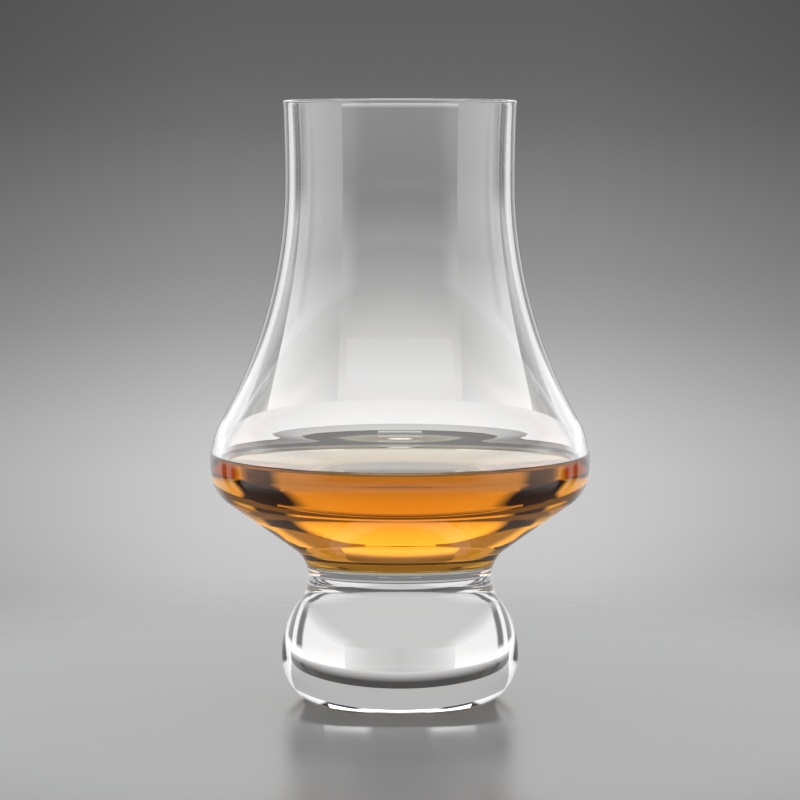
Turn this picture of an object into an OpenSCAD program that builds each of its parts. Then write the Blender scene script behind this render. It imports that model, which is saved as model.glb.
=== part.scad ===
// A hand-made crystal nosing glass for whisky, holding one dram.
// Origin: centre of the foot's bearing ring, on the table. +Z is up, along the glass's own axis.
// Every outline is a chain of arcs, each tangent to the next, turned once round the axis.

/* [Bowl outside] */
// Height of the glass, from the table to the cut rim
glass_h = 119.5; // [113:0.5:127]
// Diameter of the belly where it is widest
belly_d = 76; // [71:0.5:81]
// Height of the belly's widest circle
belly_z = 46.8; // [44:0.1:49]
// Radius of the belly's curve below its widest circle, where it turns into the underside
belly_r = 8.6; // [5:0.1:10]
// Radius of the shoulder's curve above the belly's widest circle
shoulder_r = 18.2; // [12:0.1:26]
// Diameter of the chimney where it is narrowest
chimney_d = 45.6; // [40:0.1:52]
// How far below the rim the chimney is narrowest
chimney_drop = 15.8; // [8:0.1:24]
// How much the diameter opens out again from there to the rim
rim_flare = 0.6; // [0:0.1:3]

/* [Bowl wall] */
// Wall at the cut rim
rim_wall = 1.6; // [0.9:0.1:2]
// Wall where the chimney is narrowest
chimney_wall = 1.8; // [1:0.1:2.4]
// Wall where the belly is widest
belly_wall = 2.2; // [1.6:0.1:3.4]
// Wall of the neck, where the underside draws in to the waist
neck_wall = 3.2; // [2.2:0.1:4.5]
// Crystal between the seam at the waist and the bowl's floor
floor_t = 2.8; // [1.8:0.1:5]
// Radius of the inside corner round the floor
floor_corner_r = 2.4; // [1:0.1:4]
// Radius of the polished edges on each side of the rim's flat land
rim_edge_r = 0.3; // [0.1:0.05:0.4]

/* [Foot] */
// Diameter of the waist, where the bowl is fused to the foot
waist_d = 36.6; // [33:0.1:40]
// Height of the waist above the table
waist_z = 24.7; // [21:0.1:27]
// Radius of the waist's hollow curve
waist_r = 7.1; // [4:0.1:10]
// Diameter of the foot where it is widest
foot_d = 47.4; // [44:0.1:52]
// Height of the foot's widest circle
foot_z = 9.1; // [7:0.1:12]
// Outer diameter of the flat ring that the foot stands on
bearing_d = 37.2; // [33:0.1:38]
// Width of that ring
bearing_w = 1.6; // [1:0.1:3]
// Radius of the polished edge outside the ring
bearing_edge_r = 1.5; // [0.5:0.1:2.5]
// Depth of the hollow under the foot
punt_depth = 1.8; // [0.8:0.1:4]

/* [Whisky] */
// Depth of the whisky over the bowl's floor
dram_depth = 20.9; // [18:0.1:25]
// Radius of the curve by which the whisky climbs the wall
meniscus_r = 1.8; // [1:0.1:2.4]
// Angle at which the whisky meets the crystal, in degrees
wetting_angle = 30; // [15:5:50]

/* [Hidden] */
$fn = 120;
// Straight pieces that each arc of an outline is drawn with
arc_steps = 14;
// Cubic millimetres in a millilitre
ml = 1000;

belly_rad = belly_d / 2;
chimney_rad = chimney_d / 2;
chimney_z = glass_h - chimney_drop;
rim_rad = chimney_rad + rim_flare / 2;
waist_rad = waist_d / 2;
foot_rad = foot_d / 2;
bearing_rad = bearing_d / 2;
floor_z = waist_z + floor_t;
dram_z = floor_z + dram_depth;

// The bowl's inside: its arcs share their centres with the outside's, one wall further in
cavity_rad = belly_rad - belly_wall;
bore_rad = chimney_rad - chimney_wall;
rim_bore_rad = rim_rad - rim_wall;
neck_inner_r = waist_r + neck_wall;
waist_centre = [waist_rad + waist_r, waist_z];
belly_centre = [belly_rad - belly_r, belly_z];

// Points along an arc, from one angle to another
function arc(centre, radius, from, to) =
    [for (i = [0 : arc_steps]) let (a = from + (to - from) * i / arc_steps)
        centre + radius * [cos(a), sin(a)]];

// Radius of the arc that starts along a line and has left it by this much after this length
function sweep_r(off, along) = (off * off + along * along) / (2 * off);

// Two tangent arcs from one vertical to another, further in and further up:
// a bulging one of the given radius, then a hollow one whose radius follows from the rest
function s_curve(low, high, bulge_r) =
    let (both = sweep_r(low[0] - high[0], high[1] - low[1]),
         hollow_r = both - bulge_r,
         turn = asin((high[1] - low[1]) / both))
    concat(arc([low[0] - bulge_r, low[1]], bulge_r, 0, turn),
           arc([high[0] + hollow_r, high[1]], hollow_r, 180 + turn, 180));

// The neck's hollow arc, the straight underside that touches it, and the belly's lower arc
function underside(neck_r, turn_r, start) =
    let (across = belly_centre - waist_centre,
         slope = atan2(across[1], across[0]) - asin((neck_r + turn_r) / norm(across)))
    concat(arc(waist_centre, neck_r, start, 90 + slope), arc(belly_centre, turn_r, slope - 90, 0));

// The top of the chimney, which opens out softly from its narrowest place to the rim's edge
function lip(radius, flare) =
    let (rise = chimney_drop - rim_edge_r)
    [for (i = [0 : arc_steps]) let (t = i / arc_steps)
        [radius + flare * t * t, chimney_z + rise * t]];

// Drops each point that repeats the one before it, where two arcs meet
function joined(points) =
    [for (i = [0 : len(points) - 1])
        if (i == 0 || norm(points[i] - points[i - 1]) > bearing_w / ml) points[i]];

// Outside of the bowl, from the seam at the waist to the rim's outer edge
bowl_outside = joined(concat(
    underside(waist_r, belly_r, 180),
    s_curve([belly_rad, belly_z], [chimney_rad, chimney_z], shoulder_r),
    lip(chimney_rad, rim_rad - chimney_rad),
    arc([rim_rad - rim_edge_r, glass_h - rim_edge_r], rim_edge_r, 0, 90)));

// The corner round the floor touches both the floor and the neck's hollow arc
corner_z = floor_z + floor_corner_r;
corner_tilt = asin((corner_z - waist_z) / (neck_inner_r + floor_corner_r));
corner_centre = waist_centre + (neck_inner_r + floor_corner_r) * [-cos(corner_tilt), sin(corner_tilt)];

// Inside of the bowl, from the middle of the floor to the rim's inner edge
bowl_inside = joined(concat(
    [[0, floor_z]],
    arc(corner_centre, floor_corner_r, -90, -corner_tilt),
    underside(neck_inner_r, belly_r - belly_wall, 180 - corner_tilt),
    s_curve([cavity_rad, belly_z], [bore_rad, chimney_z], shoulder_r - belly_wall),
    lip(bore_rad, rim_bore_rad - bore_rad),
    arc([rim_bore_rad + rim_edge_r, glass_h - rim_edge_r], rim_edge_r, 180, 90)));

// The foot's lower arc touches the polished edge of the bearing ring and the vertical at the widest circle
edge_off = foot_rad - bearing_rad;
edge_rise = foot_z - bearing_edge_r;
foot_lower_r = (edge_off * edge_off + edge_rise * edge_rise - bearing_edge_r * bearing_edge_r)
    / (2 * (edge_off - bearing_edge_r));
edge_turn = asin(edge_rise / (foot_lower_r - bearing_edge_r));
foot_upper_r = sweep_r(foot_rad - waist_rad, waist_z - foot_z) - waist_r;

// The hollow under the foot is a shallow cap that ends at the bearing ring
punt_rad = bearing_rad - bearing_w;
punt_r = sweep_r(punt_depth, punt_rad);

foot_outline = joined(concat(
    arc([0, punt_depth - punt_r], punt_r, 90, 90 - asin(punt_rad / punt_r)),
    arc([bearing_rad, bearing_edge_r], bearing_edge_r, -90, -edge_turn),
    arc([foot_rad - foot_lower_r, foot_z], foot_lower_r, -edge_turn, 0),
    s_curve([foot_rad, foot_z], [waist_rad, waist_z], foot_upper_r),
    [[0, waist_z]]));

// Radius of the bowl's inside at a height, read on its outline
function inside_at(z) = lookup(z, [for (p = bowl_inside) [p[1], p[0]]]);

// The whisky lies on the bowl's inside and climbs the wall in a meniscus
contact_z = dram_z + meniscus_r * (1 - sin(wetting_angle));
contact_rad = inside_at(contact_z);
dram_outline = concat(
    [for (p = bowl_inside) if (p[1] < contact_z) p],
    arc([contact_rad - meniscus_r * cos(wetting_angle), dram_z + meniscus_r], meniscus_r,
        -wetting_angle, -90),
    [[0, dram_z]]);

// Volume inside an outline, as a stack of cone slices
function turned_volume(points, i = 1) = i >= len(points) ? 0 :
    let (a = points[i - 1], b = points[i])
    PI / 3 * (b[1] - a[1]) * (a[0] * a[0] + a[0] * b[0] + b[0] * b[0]) + turned_volume(points, i + 1);

echo(brim_ml = turned_volume(bowl_inside) / ml, dram_ml = turned_volume(dram_outline) / ml);

// Blown crystal shell: drawn-in neck, wide belly, long chimney and a cold-cut, flat-polished rim
module bowl() {
    color([0.88, 0.93, 0.95, 0.45])
        rotate_extrude()
            polygon(concat([[0, waist_z]], bowl_outside,
                           [for (i = [len(bowl_inside) - 1 : -1 : 0]) bowl_inside[i]]));
}

// Heavy solid crystal foot: waist, round bulge, bearing ring and shallow hollow, fused to the bowl
module foot() {
    color([0.80, 0.86, 0.90, 0.55])
        rotate_extrude()
            polygon(foot_outline);
}

// One dram of whisky, filling the bottom of the bowl
module whisky() {
    color([0.85, 0.45, 0.12, 0.9])
        rotate_extrude()
            polygon(dram_outline);
}

bowl();
foot();
whisky();
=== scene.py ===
import math

import bmesh
import bpy
from mathutils import Matrix, Vector


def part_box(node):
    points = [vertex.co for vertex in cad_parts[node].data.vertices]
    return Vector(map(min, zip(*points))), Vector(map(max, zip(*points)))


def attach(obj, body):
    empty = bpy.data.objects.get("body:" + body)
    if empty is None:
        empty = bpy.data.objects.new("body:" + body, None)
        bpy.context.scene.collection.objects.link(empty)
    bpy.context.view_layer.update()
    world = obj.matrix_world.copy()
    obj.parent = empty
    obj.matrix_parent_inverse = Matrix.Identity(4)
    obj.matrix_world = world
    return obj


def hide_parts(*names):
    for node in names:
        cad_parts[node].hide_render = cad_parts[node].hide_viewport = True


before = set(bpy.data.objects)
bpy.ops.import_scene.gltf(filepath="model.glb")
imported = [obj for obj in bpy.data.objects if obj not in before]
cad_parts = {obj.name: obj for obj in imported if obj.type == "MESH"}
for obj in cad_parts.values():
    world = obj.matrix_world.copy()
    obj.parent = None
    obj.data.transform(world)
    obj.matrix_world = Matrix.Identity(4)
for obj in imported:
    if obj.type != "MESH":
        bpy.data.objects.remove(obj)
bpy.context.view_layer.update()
mm = 0.001


def metres(sizes):
    return {name: value * mm for name, value in sizes.items()}


def linear(hexColour):
    # an sRGB hex colour as the linear colour that shaders take
    parts = [int(hexColour[i:i + 2], 16) / 255 for i in (1, 3, 5)]
    return [c / 12.92 if c <= 0.04045 else ((c + 0.055) / 1.055) ** 2.4 for c in parts] + [1]


def addNode(tree, kind, inputs=None, **settings):
    # one shader node with its settings, and each input set to a value or linked to a socket
    made = tree.nodes.new(kind)
    for name, value in settings.items():
        setattr(made, name, value)
    for name, value in (inputs or {}).items():
        if isinstance(value, bpy.types.NodeSocket):
            tree.links.new(value, made.inputs[name])
        else:
            made.inputs[name].default_value = value
    return made


# Outlines are drawn in the plane y = 0 from one vertex, by lines and by arcs round a centre,
# and then turned once round the z axis.

turning = {
    "segments": 128,                           # round the axis
    "finestTurn": 1.5,                         # along an arc, in degrees
    "finestChord": 0.05 * mm, "longestChord": 0.8 * mm,
    "mergeWithin": 0.0001 * mm,
    "sharpAngle": 8,                           # between faces, in degrees: only cut edges stay sharp
}


def sweepRadius(off, along):
    # radius of the arc that starts along a line and has left it by this much after this length
    return (off * off + along * along) / (2 * off)


def lineTo(bm, tip, x, z):
    made = bmesh.ops.extrude_vert_indiv(bm, verts=[tip])["verts"][0]
    made.co = (x, 0, z)
    return made


def arcTo(bm, tip, centre, angle):
    # the tip goes round the centre, the shorter way, to this angle
    dx, dz = tip.co.x - centre[0], tip.co.z - centre[1]
    turn = (angle - math.degrees(math.atan2(dz, dx)) + 180) % 360 - 180
    length = math.radians(abs(turn)) * math.hypot(dx, dz)
    steps = min(abs(turn) / turning["finestTurn"], length / turning["finestChord"])
    steps = math.ceil(max(steps, length / turning["longestChord"]))
    made = bmesh.ops.spin(bm, geom=[tip], cent=(centre[0], 0, centre[1]), axis=(0, -1, 0),
                          angle=math.radians(turn), steps=steps)
    return made["geom_last"][0]


def turned(name, strokes):
    # each stroke is (slot, function that draws it from the tip); the outline is then spun to a solid
    bm = bmesh.new()
    stroke = bm.verts.layers.int.new("stroke")
    tip = bm.verts.new()
    for index, (slot, draw) in enumerate(strokes):
        before = set(bm.verts)
        tip = draw(bm, tip)
        for vert in set(bm.verts) - before:
            vert[stroke] = index
    bmesh.ops.spin(bm, geom=bm.verts[:] + bm.edges[:], cent=(0, 0, 0), axis=(0, 0, 1),
                   angle=math.tau, steps=turning["segments"], use_merge=True)
    bmesh.ops.remove_doubles(bm, verts=bm.verts, dist=turning["mergeWithin"])
    bmesh.ops.recalc_face_normals(bm, faces=bm.faces)
    if bm.calc_volume(signed=True) < 0:
        bmesh.ops.reverse_faces(bm, faces=bm.faces)
    for face in bm.faces:
        face.smooth = True
        face.material_index = strokes[max(vert[stroke] for vert in face.verts)][0]
    mesh = bpy.data.meshes.new(name)
    bm.to_mesh(mesh)
    bm.free()
    mesh.set_sharp_from_angle(angle=math.radians(turning["sharpAngle"]))
    made = bpy.data.objects.new(name, mesh)
    bpy.context.scene.collection.objects.link(made)
    print(name, "turned,", len(mesh.polygons), "faces")
    return made


# The overall sizes come from the frame's solids, the rest are the glassmaker's own, in mm.

bowlTop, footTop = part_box("bowl")[1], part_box("foot")[1]
dramLow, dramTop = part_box("whisky")
glassHeight, waistZ, floorZ, contactZ = bowlTop.z, footTop.z, dramLow.z, dramTop.z
bellyRad, footRad = bowlTop.y, footTop.y

bowl = metres({
    "waistRad": 18.3, "neckR": 7.1,            # hollow curve from the waist to the underside
    "bellyZ": 46.8, "bellyR": 8.6,             # widest circle, and the curve under it
    "shoulderR": 18.2,                         # the curve over it
    "chimneyRad": 22.8, "chimneyDrop": 15.8,   # narrowest place, and how far it lies under the rim
    "rimFlare": 0.3, "rimEdgeR": 0.3,
    "rimWall": 1.6, "chimneyWall": 1.8, "bellyWall": 2.2, "neckWall": 3.2,
    "cornerR": 2.4,                            # inside corner round the floor
    "landing": 0.3,                            # a ring this far before a curve keeps the flats flat
})

chimneyZ = glassHeight - bowl["chimneyDrop"]
rimRad = bowl["chimneyRad"] + bowl["rimFlare"]
boreRad = bowl["chimneyRad"] - bowl["chimneyWall"]
rimBoreRad = rimRad - bowl["rimWall"]
cavityRad = bellyRad - bowl["bellyWall"]
shoulderInR = bowl["shoulderR"] - bowl["bellyWall"]
waistCentre = Vector((bowl["waistRad"] + bowl["neckR"], waistZ))
bellyCentre = Vector((bellyRad - bowl["bellyR"], bowl["bellyZ"]))


def undersideSlope(neckR, turnR):
    # slope of the straight line that touches the neck's hollow arc and the belly's lower arc
    across = bellyCentre - waistCentre
    return math.degrees(math.atan2(across.y, across.x) - math.asin((neckR + turnR) / across.length))


def squareTo(slope):
    # one unit up and inwards from a line of this slope
    return Vector((-math.sin(math.radians(slope)), math.cos(math.radians(slope))))


def sCurve(low, high, bulge):
    # two tangent arcs between verticals: (centre of the bulge, centre of the hollow, their shared turn)
    both = sweepRadius(low[0] - high[0], high[1] - low[1])
    turn = math.degrees(math.asin((high[1] - low[1]) / both))
    return (low[0] - bulge, low[1]), (high[0] + both - bulge, high[1]), turn


def drawSeam(bm, tip):
    tip.co = (0, 0, waistZ)
    tip = lineTo(bm, tip, bowl["waistRad"] - bowl["landing"], waistZ)
    return lineTo(bm, tip, bowl["waistRad"], waistZ)


def drawLip(bm, tip):
    # the chimney opens out softly to the cut rim, whose flat land has a polished edge on each side
    rise, edge = bowl["chimneyDrop"] - bowl["rimEdgeR"], bowl["rimEdgeR"]
    outer = sweepRadius(bowl["rimFlare"], rise)
    opening = 180 - math.degrees(math.asin(rise / outer))
    tip = arcTo(bm, tip, (bowl["chimneyRad"] + outer, chimneyZ), opening)
    tip = arcTo(bm, tip, (rimRad - edge, glassHeight - edge), 90)
    tip = lineTo(bm, tip, rimBoreRad + edge, glassHeight)
    tip = arcTo(bm, tip, (rimBoreRad + edge, glassHeight - edge), 180)
    inner = sweepRadius(rimBoreRad - boreRad, rise)
    return arcTo(bm, tip, (boreRad + inner, chimneyZ), 180)


def drawOutside(bm, tip):
    slope = undersideSlope(bowl["neckR"], bowl["bellyR"])
    tip = arcTo(bm, tip, waistCentre, 90 + slope)
    tip = lineTo(bm, tip, *(bellyCentre - bowl["bellyR"] * squareTo(slope)))
    tip = arcTo(bm, tip, bellyCentre, 0)
    low, high = (bellyRad, bowl["bellyZ"]), (bowl["chimneyRad"], chimneyZ)
    bulge, hollow, turn = sCurve(low, high, bowl["shoulderR"])
    tip = arcTo(bm, tip, bulge, turn)
    tip = arcTo(bm, tip, hollow, 180)
    return drawLip(bm, tip)


shoulderIn, hollowIn, turnIn = sCurve((cavityRad, bowl["bellyZ"]), (boreRad, chimneyZ), shoulderInR)
contactAngle = math.degrees(math.asin((contactZ - bowl["bellyZ"]) / shoulderInR))


def drawDryInside(bm, tip):
    tip = arcTo(bm, tip, hollowIn, 180 + turnIn)
    return arcTo(bm, tip, shoulderIn, contactAngle)


def drawWetInside(bm, tip, gap=0.0):
    # the wall below the whisky's edge, down to the middle of the floor, this far off the crystal
    neckIn, turnR = bowl["neckR"] + bowl["neckWall"], bowl["bellyR"] - bowl["bellyWall"]
    slope = undersideSlope(neckIn, turnR)
    tip = arcTo(bm, tip, shoulderIn, 0)
    tip = arcTo(bm, tip, bellyCentre, slope - 90)
    tip = lineTo(bm, tip, *(waistCentre + (neckIn + gap) * squareTo(slope)))
    reach = neckIn + bowl["cornerR"]
    tilt = math.asin((floorZ + bowl["cornerR"] - waistZ) / reach)
    corner = waistCentre + reach * Vector((-math.cos(tilt), math.sin(tilt)))
    tip = arcTo(bm, tip, waistCentre, 180 - math.degrees(tilt))
    tip = arcTo(bm, tip, corner, -90)
    tip = lineTo(bm, tip, corner.x - bowl["landing"], floorZ + gap)
    return lineTo(bm, tip, 0, floorZ + gap)


bowlPiece = turned("bowl_crystal", [
    (1, drawSeam), (0, drawOutside), (0, drawDryInside), (2, drawWetInside)])

foot = metres({
    "z": 9.1,                                  # widest circle
    "bearingRad": 18.6, "bearingWidth": 1.6,   # the flat ring that it stands on
    "bearingEdgeR": 1.5,                       # polished edge outside the ring
    "puntDepth": 1.8,                          # hollow inside the ring
})


def drawPunt(bm, tip):
    rad = foot["bearingRad"] - foot["bearingWidth"]
    radius = sweepRadius(foot["puntDepth"], rad)
    tip.co = (0, 0, foot["puntDepth"])
    tip = arcTo(bm, tip, (0, foot["puntDepth"] - radius), 90 - math.degrees(math.asin(rad / radius)))
    return lineTo(bm, tip, foot["bearingRad"], 0)


def drawBulge(bm, tip):
    # the lower arc touches the polished edge and the vertical at the widest circle
    edge, off = foot["bearingEdgeR"], footRad - foot["bearingRad"]
    rise = foot["z"] - edge
    lower = (off * off + rise * rise - edge * edge) / (2 * (off - edge))
    tip = arcTo(bm, tip, (foot["bearingRad"], edge), -math.degrees(math.asin(rise / (lower - edge))))
    tip = arcTo(bm, tip, (footRad - lower, foot["z"]), 0)
    upper = sweepRadius(footRad - bowl["waistRad"], waistZ - foot["z"]) - bowl["neckR"]
    bulge, hollow, turn = sCurve((footRad, foot["z"]), (bowl["waistRad"], waistZ), upper)
    tip = arcTo(bm, tip, bulge, turn)
    return arcTo(bm, tip, hollow, 180)


def drawFootTop(bm, tip):
    tip = lineTo(bm, tip, bowl["waistRad"] - bowl["landing"], waistZ)
    return lineTo(bm, tip, 0, waistZ)


footPiece = turned("foot_crystal", [(0, drawPunt), (0, drawBulge), (1, drawFootTop)])

dram = metres({
    "level": 48.4, "meniscusR": 1.8,
    "film": 0.03,                              # it stands this far off the wall, so no faces coincide
})
contactRad = shoulderIn[0] + shoulderInR * math.cos(math.radians(contactAngle))


def drawSurface(bm, tip):
    # flat in the middle, then climbing the wall in a meniscus
    tip.co = (0, 0, dram["level"])
    wetting = math.asin(1 - (contactZ - dram["level"]) / dram["meniscusR"])
    centre = (contactRad - dram["meniscusR"] * math.cos(wetting), dram["level"] + dram["meniscusR"])
    tip = lineTo(bm, tip, centre[0] - bowl["landing"], dram["level"])
    tip = lineTo(bm, tip, centre[0], dram["level"])
    tip = arcTo(bm, tip, centre, -math.degrees(wetting))
    return lineTo(bm, tip, tip.co.x - dram["film"], tip.co.z)


def drawDramSide(bm, tip):
    return drawWetInside(bm, tip, dram["film"])


dramPiece = turned("whisky_dram", [(1, drawSurface), (0, drawDramSide)])

# The open surface bends light as whisky to air. On the wetted side the crystal's own face does that.
openFaces = dramPiece.data.attributes.new("openSurface", "FLOAT", "FACE")
for face in dramPiece.data.polygons:
    openFaces.data[face.index].value = face.material_index
    face.material_index = 0

crystal = {"colour": "#FEFEFE", "ior": 1.52, "waveLength": 9 * mm, "waveHeight": 0.004 * mm}
whisky = {"colour": "#F7DE6F", "density": 90.0, "ior": 1.36}


def makeCrystal(name, ior):
    # lead-free crystal, mouth-blown and fire-polished: clear and colourless, with a faint slow
    # waviness from the glassmaker's tools that makes reflections swim a little
    material = bpy.data.materials.new(name)
    material.use_nodes = True
    tree = material.node_tree
    shader = tree.nodes["Principled BSDF"]
    shader.inputs["Base Color"].default_value = linear(crystal["colour"])
    shader.inputs["Roughness"].default_value = 0.0
    shader.inputs["Transmission Weight"].default_value = 1.0
    shader.inputs["IOR"].default_value = ior
    place = addNode(tree, "ShaderNodeTexCoord")
    waves = addNode(tree, "ShaderNodeTexNoise", {
        "Vector": place.outputs["Object"], "Scale": 1 / crystal["waveLength"], "Detail": 1.0})
    bump = addNode(tree, "ShaderNodeBump", {
        "Height": waves.outputs[0], "Distance": crystal["waveHeight"], "Strength": 1.0})
    tree.links.new(bump.outputs["Normal"], shader.inputs["Normal"])
    return material


def makeSeam():
    # the bowl and the foot are fused while hot, so nothing shows where they meet
    material = bpy.data.materials.new("fusedCrystalSeam")
    material.use_nodes = True
    tree = material.node_tree
    tree.nodes.remove(tree.nodes["Principled BSDF"])
    clear = addNode(tree, "ShaderNodeBsdfTransparent")
    tree.links.new(clear.outputs[0], tree.nodes["Material Output"].inputs["Surface"])
    return material


def makeWhisky():
    # oak-aged whisky: clear amber that deepens with the length of the way through it
    material = bpy.data.materials.new("oakAgedWhisky")
    material.use_nodes = True
    tree = material.node_tree
    shader = tree.nodes["Principled BSDF"]
    shader.inputs["Base Color"].default_value = (1, 1, 1, 1)
    shader.inputs["Roughness"].default_value = 0.0
    shader.inputs["Transmission Weight"].default_value = 1.0
    opened = addNode(tree, "ShaderNodeAttribute", attribute_name="openSurface")
    bend = addNode(tree, "ShaderNodeMapRange", {
        "Value": opened.outputs["Fac"], "To Min": 1.0, "To Max": whisky["ior"]})
    tree.links.new(bend.outputs[0], shader.inputs["IOR"])
    fill = addNode(tree, "ShaderNodeVolumeAbsorption", {
        "Color": linear(whisky["colour"]), "Density": whisky["density"]})
    tree.links.new(fill.outputs[0], tree.nodes["Material Output"].inputs["Volume"])
    return material


clearCrystal = makeCrystal("leadFreeCrystalFirePolished", crystal["ior"])
wettedCrystal = makeCrystal("leadFreeCrystalWetted", crystal["ior"] / whisky["ior"])
seam = makeSeam()
for piece, materials, node, slot in (
        (bowlPiece, (clearCrystal, seam, wettedCrystal), "bowl", "bowl_crystal"),
        (footPiece, (clearCrystal, seam), "foot", "foot_crystal"),
        (dramPiece, (makeWhisky(),), "whisky", "whisky")):
    for material in materials:
        piece.data.materials.append(material)
    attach(piece, "root")
    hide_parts(node)
print("materials made")

# Crystal and whisky show what stands round them, so the studio is set as for a photograph of glass.
# Azimuths are degrees to both sides from straight behind the glass, heights are degrees over the
# horizon, and a level is a grey from 0 to 1, or more for a bright panel. Lists are (where, level).


def levelAlong(tree, where, stops):
    low, high = stops[0][0], stops[-1][0]
    share = addNode(tree, "ShaderNodeMapRange", {"Value": where, "From Min": low, "From Max": high})
    ramp = addNode(tree, "ShaderNodeValToRGB", {"Fac": share.outputs[0]})
    elements = ramp.color_ramp.elements
    for place, level in stops[1:-1]:
        elements.new((place - low) / (high - low)).color = (level, level, level, 1)
    for end, level in ((elements[0], stops[0][1]), (elements[len(elements) - 1], stops[-1][1])):
        end.color = (level, level, level, 1)
    return ramp.outputs["Color"]


def azimuthOf(tree, split):
    angle = addNode(tree, "ShaderNodeMath", {0: split.outputs["X"], 1: split.outputs["Y"]},
                    operation="ARCTAN2")
    angle = addNode(tree, "ShaderNodeMath", {0: angle.outputs[0]}, operation="DEGREES")
    return addNode(tree, "ShaderNodeMath", {0: angle.outputs[0]}, operation="ABSOLUTE").outputs[0]


table = {
    "radius": 0.2, "segments": 96, "colour": "#B4B5B8", "roughness": 0.25, "specular": 0.25,
    "fade": (0.09, 0.196),                     # it fades into the backdrop between these radii
    # painted light: a glowing pale patch that crystal shows behind the foot, in place of the lit table
    # there: level, and share by azimuth and by mm
    "paintedGlowLevel": 0.62, "patchByAzimuth": [(0, 1), (7, 1), (13, 0), (180, 0)],
    "patchByRadius": [(0, 0), (27, 0), (28, 1), (78, 1), (88, 0), (200, 0)],
}


def makeTable():
    # a pale polished table; crystal and whisky show the studio and a painted glowing patch in its place
    bm = bmesh.new()
    bmesh.ops.create_circle(bm, cap_ends=True, radius=table["radius"], segments=table["segments"])
    mesh = bpy.data.meshes.new("table")
    bm.to_mesh(mesh)
    bm.free()
    made = bpy.data.objects.new("table", mesh)
    bpy.context.scene.collection.objects.link(made)
    material = bpy.data.materials.new("paleTable")
    material.use_nodes = True
    tree = material.node_tree
    shader = tree.nodes["Principled BSDF"]
    shader.inputs["Base Color"].default_value = linear(table["colour"])
    shader.inputs["Roughness"].default_value = table["roughness"]
    shader.inputs["Specular IOR Level"].default_value = table["specular"]
    place = addNode(tree, "ShaderNodeTexCoord").outputs["Object"]
    away = addNode(tree, "ShaderNodeVectorMath", {0: place}, operation="LENGTH").outputs["Value"]
    fade = addNode(tree, "ShaderNodeMapRange", {
        "Value": away, "From Min": table["fade"][0], "From Max": table["fade"][1]},
        interpolation_type="SMOOTHSTEP")
    clear = addNode(tree, "ShaderNodeBsdfTransparent")
    plain = addNode(tree, "ShaderNodeMixShader", {
        0: fade.outputs[0], 1: shader.outputs[0], 2: clear.outputs[0]})
    azimuth = azimuthOf(tree, addNode(tree, "ShaderNodeSeparateXYZ", {0: place}))
    millimetres = addNode(tree, "ShaderNodeMath", {0: away, 1: 1 / mm}, operation="MULTIPLY")
    patch = addNode(tree, "ShaderNodeMath", {
        0: levelAlong(tree, azimuth, table["patchByAzimuth"]),
        1: levelAlong(tree, millimetres.outputs[0], table["patchByRadius"])}, operation="MULTIPLY")
    # painted light: the patch is an emission at a fixed level, which only rays through crystal or
    # whisky meet
    pale = addNode(tree, "ShaderNodeEmission", {"Strength": table["paintedGlowLevel"]})
    shown = addNode(tree, "ShaderNodeMixShader", {
        0: patch.outputs[0], 1: clear.outputs[0], 2: pale.outputs[0]})
    rays = addNode(tree, "ShaderNodeLightPath")
    mix = addNode(tree, "ShaderNodeMixShader", {
        0: rays.outputs["Is Transmission Ray"], 1: plain.outputs[0], 2: shown.outputs[0]})
    tree.links.new(mix.outputs[0], tree.nodes["Material Output"].inputs["Surface"])
    mesh.materials.append(material)


makeTable()

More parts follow.
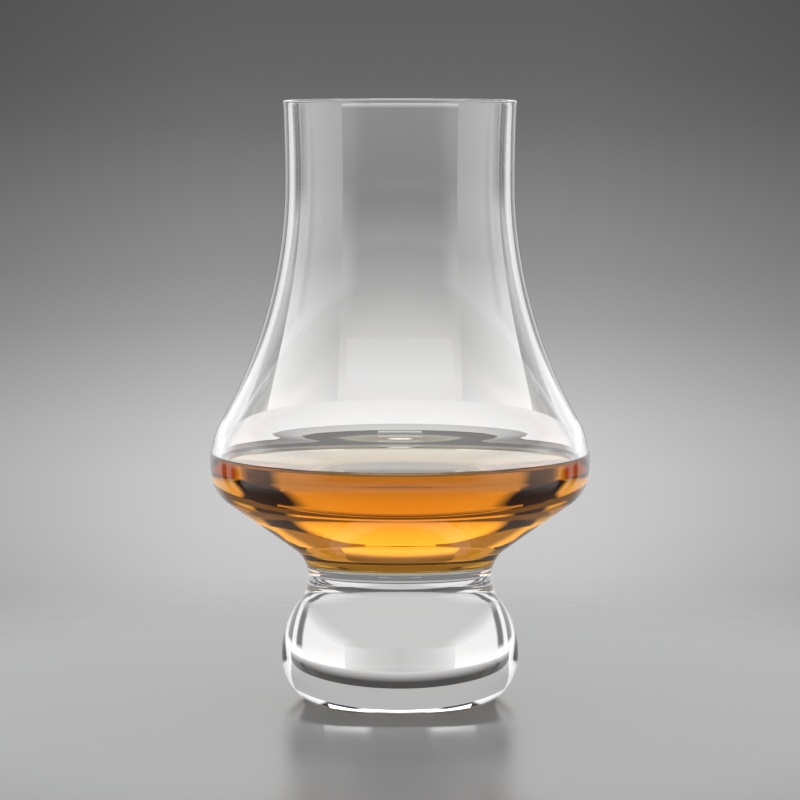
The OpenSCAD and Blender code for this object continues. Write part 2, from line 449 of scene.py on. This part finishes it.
# Cards stand round the glass and show only in crystal and whisky. A glow or a screen is pale, a flag
# is dark. Each has a radius, a lower and an upper edge, the level at two heights, in mm, and its
# share of that level by azimuth. A lean turns these shares outwards over the card's first 24 mm.
leanHeight = 24 * mm
cards = {
    # the glow right behind the whisky, and what hides it from the surface
    "glowBehindWhisky": {
        "radius": 75, "edges": (34.5, 43.8), "levels": ((35.4, 2.8), (40.5, 1.4)),
        "shares": [(0, 1), (1.4, 1), (2.5, 0.02), (6.6, 0.02), (8, 0.8), (19, 0.8)]},
    "glowUnderIt": {
        "radius": 75, "edges": (29, 34.5), "levels": ((29, 2.8), (34.5, 2.8)),
        "shares": [(0, 0.25), (4.8, 0.25), (6.6, 0.8), (19, 0.8)]},
    "flagOverGlow": {
        "radius": 74, "edges": (41.3, 45.5), "levels": ((41.3, 0.3), (45.5, 0.3)),
        "shares": [(0, 1), (2.6, 1)]},
    "flagUnderSurface": {
        "radius": 55, "edges": (41.7, 44), "levels": ((41.7, 0.25), (44, 0.25)),
        "shares": [(0, 1), (5.4, 1)]},
    "flagAtBackEdge": {
        "radius": 55, "edges": (27, 36.5), "levels": ((27, 0.22), (36.5, 0.22)),
        "shares": [(0, 1), (5, 1)]},
    # the dark bands at the whisky's sides
    "flagsBesideWhisky": {
        "radius": 55, "edges": (27, 46.3), "levels": ((27, 0.22), (46.3, 0.22)),
        "shares": [(5, 1), (34, 1)]},
    "flagBesideBelly": {
        "radius": 200, "edges": (56, 200), "levels": ((62, 0.65), (80, 0.42)),
        "shares": [(8, 2), (9, 1.3), (10.8, 0.03), (23, 0.03), (25.5, 2), (50, 2)], "lean": 8},
    # pale crystal over the surface, in the shoulder and beside the chimney
    "screenAtSurface": {
        "radius": 42, "edges": (50.3, 55.6), "levels": ((50.3, 1.06), (55.6, 0.97)),
        "shares": [(0, 1), (70, 1)]},
    "screenBehindShoulder": {
        "radius": 100, "edges": (53.5, 63.3), "levels": ((53.5, 0.9), (63.3, 0.72)),
        "shares": [(0, 1), (8, 1)]},
    "screenBesideChimney": {
        "radius": 60, "edges": (52.5, 125), "levels": ((53.4, 0.88), (85, 0.3)),
        "shares": [(14, 0.95), (24, 1.15), (33, 1.35)]},
    # the foot: pale above and below, with a dark line between
    "screenBehindFoot": {
        "radius": 100, "edges": (-4, 11.2), "levels": ((-4, 0.66), (11.2, 0.66)),
        "shares": [(0, 0.9), (6, 1), (13, 1.3)]},
    "flagBehindFoot": {
        "radius": 100, "edges": (11.2, 18.7), "levels": ((11.4, 0.7), (15.8, 0.07)),
        "shares": [(0, 1), (48, 1)]},
    "screenUnderFoot": {
        "radius": 100, "edges": (18.7, 34), "levels": ((18.7, 0.5), (34, 0.5)),
        "shares": [(0, 1), (48, 1)]},
}


def makeCard(name, card):
    low, high = (edge * mm for edge in card["edges"])
    nearest, furthest = card["shares"][0][0], card["shares"][-1][0]
    bm = bmesh.new()
    for side in (-1, 1):
        ends = [bm.verts.new((0, card["radius"] * mm, z)) for z in (low, high)]
        upright = bm.edges.new(ends)
        bmesh.ops.rotate(bm, verts=ends, cent=(0, 0, 0),
                         matrix=Matrix.Rotation(math.radians(side * nearest), 3, "Z"))
        bmesh.ops.spin(bm, geom=ends + [upright], cent=(0, 0, 0), axis=(0, 0, 1),
                       angle=math.radians(side * (furthest - nearest)), steps=12)
    mesh = bpy.data.meshes.new(name)
    bm.to_mesh(mesh)
    bm.free()
    made = bpy.data.objects.new(name, mesh)
    bpy.context.scene.collection.objects.link(made)
    made.visible_camera = made.visible_diffuse = made.visible_glossy = made.visible_shadow = False
    material = bpy.data.materials.new(name + "Paint")
    material.use_nodes = True
    tree = material.node_tree
    tree.nodes.remove(tree.nodes["Principled BSDF"])
    place = addNode(tree, "ShaderNodeTexCoord").outputs["Object"]
    split = addNode(tree, "ShaderNodeSeparateXYZ", {0: place})
    (lowMark, lowLevel), (highMark, highLevel) = card["levels"]
    level = addNode(tree, "ShaderNodeMapRange", {
        "Value": split.outputs["Z"], "From Min": lowMark * mm, "From Max": highMark * mm,
        "To Min": lowLevel, "To Max": highLevel})
    lean = addNode(tree, "ShaderNodeMapRange", {
        "Value": split.outputs["Z"], "From Min": low, "From Max": low + leanHeight,
        "To Min": 0, "To Max": card.get("lean", 0)})
    azimuth = addNode(tree, "ShaderNodeMath", {0: azimuthOf(tree, split), 1: lean.outputs[0]},
                      operation="SUBTRACT")
    strength = addNode(tree, "ShaderNodeMath", {
        0: level.outputs[0], 1: levelAlong(tree, azimuth.outputs[0], card["shares"])},
        operation="MULTIPLY")
    shown = addNode(tree, "ShaderNodeEmission", {"Strength": strength.outputs[0]})
    tree.links.new(shown.outputs[0], tree.nodes["Material Output"].inputs["Surface"])
    mesh.materials.append(material)


for cardName, card in cards.items():
    makeCard(cardName, card)
print("table and cards set")

studio = {
    # what the camera sees behind the glass: a pale floor that darkens upwards and to the sides
    "backdrop": [(-90, 0.44), (-9.6, 0.44), (-8.8, 0.47), (-7.4, 0.6), (-6, 0.6), (-3.9, 0.31),
                 (-1.1, 0.14), (0.5, 0.11), (90, 0.11)],
    "halo": [(0, 1), (2.5, 1), (6, 0.72), (180, 0.72)],
    # further round the glass the camera sees what the crystal sees, up to a pale grey
    "roundFrom": [(0, 0), (9, 0), (24, 1), (180, 1)], "roundLimit": 0.75,
    # what crystal and whisky see straight behind them, by height
    "behind": [(-90, 0.1), (-26, 0.12), (-22, 0.57), (-12, 0.54), (-8, 0.78), (-6.8, 0.97), (-6.4, 0.9),
               (-5.7, 0.75), (-5, 0.61), (-4.4, 0.46), (-3.2, 0.27), (-2.5, 0.15), (-1.6, 0.13),
               (-1, 0.9), (0, 1.1), (5, 1.4), (6, 1.35), (9, 1.1), (14.3, 0.9), (14.9, 2.6),
               (17.5, 2.6), (19.5, 0.5), (22, 0.36), (90, 0.4)],
    # and beside that, on each side of them, and in front of them, each with where it begins
    "flank": [(-90, 0.1), (-42, 0.12), (-37, 0.7), (-15, 0.86), (-3, 0.92), (0, 1), (5, 1.1), (12, 1),
              (17.5, 0.9), (18.6, 0.36), (90, 0.4)],
    "flankFrom": [(0, 0), (11, 0), (19, 1), (180, 1)],
    "side": [(-90, 0.1), (-42, 0.12), (-38, 0.9), (-3, 0.95), (1, 1.2), (16, 1.2), (21, 1), (25, 0.2),
             (60, 0.2), (90, 0.3)],
    "sideFrom": [(0, 0), (45, 0), (47, 1), (180, 1)],
    "front": [(-90, 0.1), (-42, 0.12), (-38, 0.25), (-22, 0.3), (-19, 0.9), (-4, 0.9), (0, 0.3),
              (30, 0.25), (90, 0.4)],
    "frontFrom": [(0, 0), (122, 0), (138, 1), (180, 1)],
    # two dark strips below the horizon, which line the foot's edges
    "strips": [(0, 0), (44, 0), (46, 1), (51, 1), (52.5, 0), (57, 0), (59, 1), (66, 1), (70, 0),
               (180, 0)],
    "stripsUpTo": [(-90, 1), (-2, 1), (0.5, 0), (90, 0)], "stripLevel": 0.06,
}


def makeWorld():
    world = bpy.data.worlds.new("softStudio")
    bpy.context.scene.world = world
    world.use_nodes = True
    tree = world.node_tree
    place = addNode(tree, "ShaderNodeTexCoord").outputs["Generated"]
    toward = addNode(tree, "ShaderNodeSeparateXYZ", {0: place})
    azimuth = azimuthOf(tree, toward)
    height = addNode(tree, "ShaderNodeMath", {0: toward.outputs["Z"]}, operation="ARCSINE")
    height = addNode(tree, "ShaderNodeMath", {0: height.outputs[0]}, operation="DEGREES").outputs[0]
    panels = levelAlong(tree, height, studio["behind"])
    for zone in ("flank", "side", "front"):
        panels = addNode(tree, "ShaderNodeMix", {
            0: levelAlong(tree, azimuth, studio[zone + "From"]), 6: panels,
            7: levelAlong(tree, height, studio[zone])}, data_type="RGBA").outputs[2]
    strips = addNode(tree, "ShaderNodeMath", {
        0: levelAlong(tree, azimuth, studio["strips"]),
        1: levelAlong(tree, height, studio["stripsUpTo"])}, operation="MULTIPLY")
    inCrystal = addNode(tree, "ShaderNodeMix", {
        0: strips.outputs[0], 6: panels, 7: [studio["stripLevel"]] * 3 + [1]}, data_type="RGBA")
    around = addNode(tree, "ShaderNodeMath", {0: panels, 1: studio["roundLimit"]}, operation="MINIMUM")
    behind = addNode(tree, "ShaderNodeMath", {
        0: levelAlong(tree, height, studio["backdrop"]),
        1: levelAlong(tree, azimuth, studio["halo"])}, operation="MULTIPLY")
    backdrop = addNode(tree, "ShaderNodeMix", {
        0: levelAlong(tree, azimuth, studio["roundFrom"]), 6: behind.outputs[0],
        7: around.outputs[0]}, data_type="RGBA")
    rays = addNode(tree, "ShaderNodeLightPath")
    seen = addNode(tree, "ShaderNodeMix", {
        0: rays.outputs["Is Camera Ray"], 6: inCrystal.outputs[2], 7: backdrop.outputs[2]},
        data_type="RGBA")
    tree.links.new(seen.outputs[2], tree.nodes["Background"].inputs["Color"])


makeWorld()
print("studio set")

# Camera: level with a point a little over the rim, aimed at the middle of the glass

view = {"distance": 0.807, "height": 0.135, "aimHeight": 0.060, "shareOfFrame": 0.75,
        "nearest": 0.01, "furthest": 10}
camera = bpy.data.cameras.new("camera")
cameraObject = bpy.data.objects.new("camera", camera)
bpy.context.scene.collection.objects.link(cameraObject)
cameraObject.location = (0, -view["distance"], view["height"])
aim = Vector((0, 0, view["aimHeight"])) - cameraObject.location
cameraObject.rotation_euler = aim.to_track_quat("-Z", "Y").to_euler()
camera.lens = camera.sensor_width * aim.length * view["shareOfFrame"] / glassHeight
camera.clip_start, camera.clip_end = view["nearest"], view["furthest"]
bpy.context.scene.camera = cameraObject

bouncesThroughCrystal = 24
bpy.context.scene.view_settings.view_transform = "Standard"
bpy.context.scene.cycles.max_bounces = bouncesThroughCrystal
bpy.context.scene.cycles.transmission_bounces = bouncesThroughCrystal
print("camera set")
